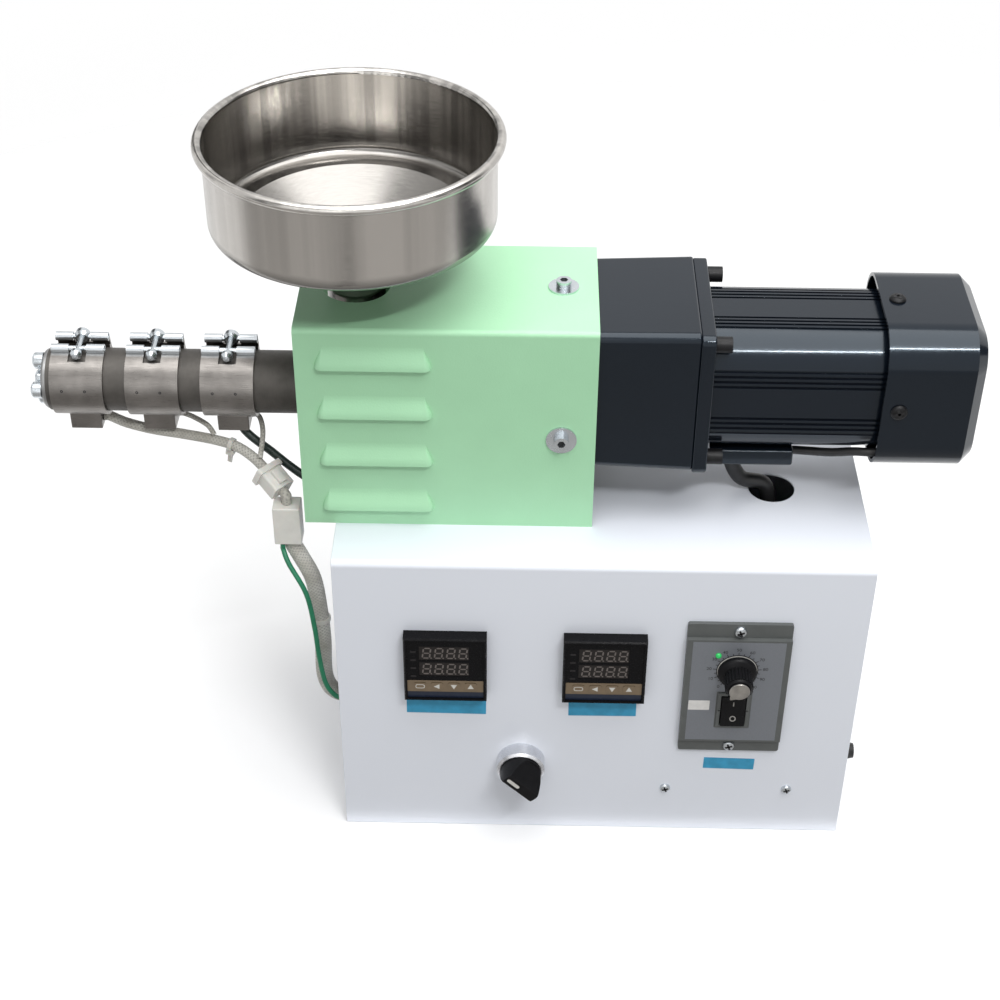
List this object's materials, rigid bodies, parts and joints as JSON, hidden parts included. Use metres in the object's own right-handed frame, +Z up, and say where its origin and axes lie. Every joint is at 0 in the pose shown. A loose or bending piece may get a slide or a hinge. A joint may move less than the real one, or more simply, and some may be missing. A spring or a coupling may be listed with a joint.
{
  "type": "desktop single screw extruder",
  "caption": "Bench-top plastic extruder: heated barrel with band heaters, feed hopper, vented drive cover and gear motor on a sheet-metal control cabinet.",
  "frame": {"origin": "centre of the cabinet's base, on the surface it stands on", "axes": "+X along the machine towards the motor, -Y out of the control panel, +Z up"},
  "size_m": [0.5285, 0.189, 0.4317],
  "materials": {
    "white_coat": "gloss white powder coat",
    "green_coat": "fine textured mint green powder coat",
    "slate_paint": "glossy dark slate enamel with orange peel",
    "polished_steel": "mirror polished stainless sheet",
    "band_steel": "brushed stainless strip, heat toned",
    "barrel_steel": "turned nitrided steel, dull grey brown",
    "zinc_plate": "bright bluish zinc plate",
    "machined_steel": "plain machined steel",
    "black_oxide": "black oxide",
    "chrome_ring": "satin chrome",
    "instrument_black": "black moulded plastic",
    "instrument_grey": "grey printed face plate",
    "black_rubber": "black flexible PVC",
    "glass_sleeve": "braided glass fibre sleeve",
    "white_plastic": "white moulded plastic",
    "earth_green": "green insulated wire"
  },
  "bodies": {
    "machine": {"cabinet_shell": "white_coat", "cabinet_left_side": "white_coat", "cabinet_right_side": "white_coat", "cabinet_base": "white_coat", "left_temperature_controller": "instrument_black", "right_temperature_controller": "instrument_black", "speed_controller": "instrument_grey", "selector_ring": "chrome_ring", "cord_gland": "black_rubber", "harness_grommet": "black_rubber", "base_plate": "machined_steel", "feed_block": "machined_steel", "bearing_housing": "machined_steel", "drive_coupling": "machined_steel", "gearbox_upright": "machined_steel", "barrel": "barrel_steel", "extruder_screw": "machined_steel", "die_plate": "machined_steel", "die_bolts": "zinc_plate", "nozzle": "zinc_plate", "heater_band_1": "band_steel", "heater_band_2": "band_steel", "heater_band_3": "band_steel", "band_clamp_1": "zinc_plate", "band_clamp_2": "zinc_plate", "band_clamp_3": "zinc_plate", "terminal_box_1": "band_steel", "terminal_box_2": "band_steel", "terminal_box_3": "band_steel", "cover": "green_coat", "cover_screws": "zinc_plate", "hopper_bowl": "polished_steel", "hopper_neck": "polished_steel", "gearbox": "slate_paint", "motor_flange": "slate_paint", "flange_bolts": "black_oxide", "motor_body": "slate_paint", "motor_terminal_box": "slate_paint", "fan_cap": "slate_paint", "cooling_fan": "instrument_black", "motor_lead": "black_rubber", "fan_lead": "black_rubber", "heater_leads": "glass_sleeve", "connector_block": "white_plastic", "heater_harness": "glass_sleeve", "earth_wire": "earth_green"},
    "speed_knob": {"speed_knob": "instrument_black"},
    "power_rocker": {"power_rocker": "instrument_black"},
    "selector_knob": {"selector_knob": "instrument_black"}
  },
  "joints": [
    {"name": "speed_turn", "type": "hinge", "parent": "machine", "child": "speed_knob", "pos_m": [0.0795, -0.0825, 0.138], "axis": [0, 1, 0], "range_deg": [0, 284]},
    {"name": "rocker_tilt", "type": "hinge", "parent": "machine", "child": "power_rocker", "pos_m": [0.0795, -0.0875, 0.107], "axis": [1, 0, 0], "range_deg": [0, 14]},
    {"name": "selector_turn", "type": "hinge", "parent": "machine", "child": "selector_knob", "pos_m": [-0.0445, -0.0825, 0.057], "axis": [0, 1, 0], "range_deg": [0, 90]}
  ]
}
